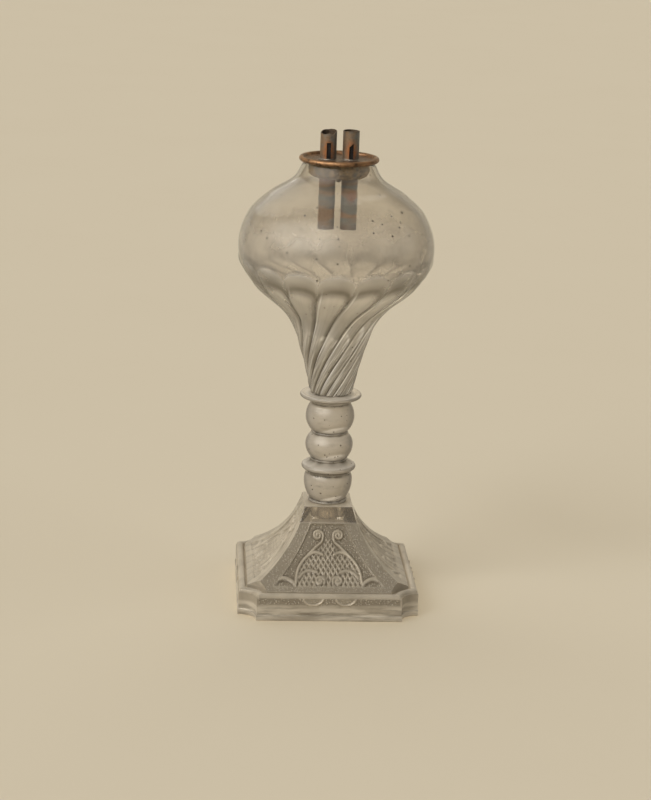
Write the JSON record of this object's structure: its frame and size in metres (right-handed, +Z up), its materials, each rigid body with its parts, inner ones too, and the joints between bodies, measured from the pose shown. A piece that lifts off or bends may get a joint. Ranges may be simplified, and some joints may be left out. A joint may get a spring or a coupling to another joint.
{
  "type": "whale oil lamp",
  "caption": "Free-standing glass oil lamp with a pressed square base, a knopped stem, a gadrooned font and a corked burner with wick tubes that lifts out of the neck.",
  "frame": {"origin": "on the table under the middle of the square base", "axes": "+Z up along the lamp's axis, -Y towards the front, +X to the right of the front, along the row of wick tubes"},
  "size_m": [0.1084, 0.1084, 0.265],
  "materials": {
    "pressed_glass": "pressed flint glass with a greyish tone and a fine stippled relief",
    "stem_glass": "solid flint glass with small seeds and pits",
    "blown_glass": "thin blown flint glass with seeds",
    "copper_plate": "tarnished brown copper alloy",
    "tube_metal": "tarnished tube, greyer below the plate",
    "solder": "dull soft solder",
    "cork": "dark oil-soaked cork",
    "wick_cotton": "round cotton wick, charred at the top"
  },
  "bodies": {
    "glass": {"base": "pressed_glass", "stem_peg": "stem_glass", "foot_wafer": "stem_glass", "lower_knop": "stem_glass", "stem_collar": "stem_glass", "lower_wafer": "stem_glass", "middle_knop": "stem_glass", "upper_wafer": "stem_glass", "upper_knop": "stem_glass", "font_wafer": "stem_glass", "font": "blown_glass", "gadroon": "blown_glass"},
    "burner": {"burner_disc": "copper_plate", "cork": "cork", "wick_tube_left": "tube_metal", "wick_tube_right": "tube_metal", "solder_left": "solder", "solder_right": "solder"},
    "wick_left": {"wick_left": "wick_cotton"},
    "wick_right": {"wick_right": "wick_cotton"}
  },
  "joints": [
    {"name": "burner_lift", "type": "slide", "parent": "glass", "child": "burner", "axis": [0, 0, 1], "range_m": [0, 0.06]},
    {"name": "wick_left_raise", "type": "slide", "parent": "burner", "child": "wick_left", "axis": [0, 0, 1], "range_m": [-0.004, 0.008]},
    {"name": "wick_right_raise", "type": "slide", "parent": "burner", "child": "wick_right", "axis": [0, 0, 1], "range_m": [-0.004, 0.008]}
  ]
}
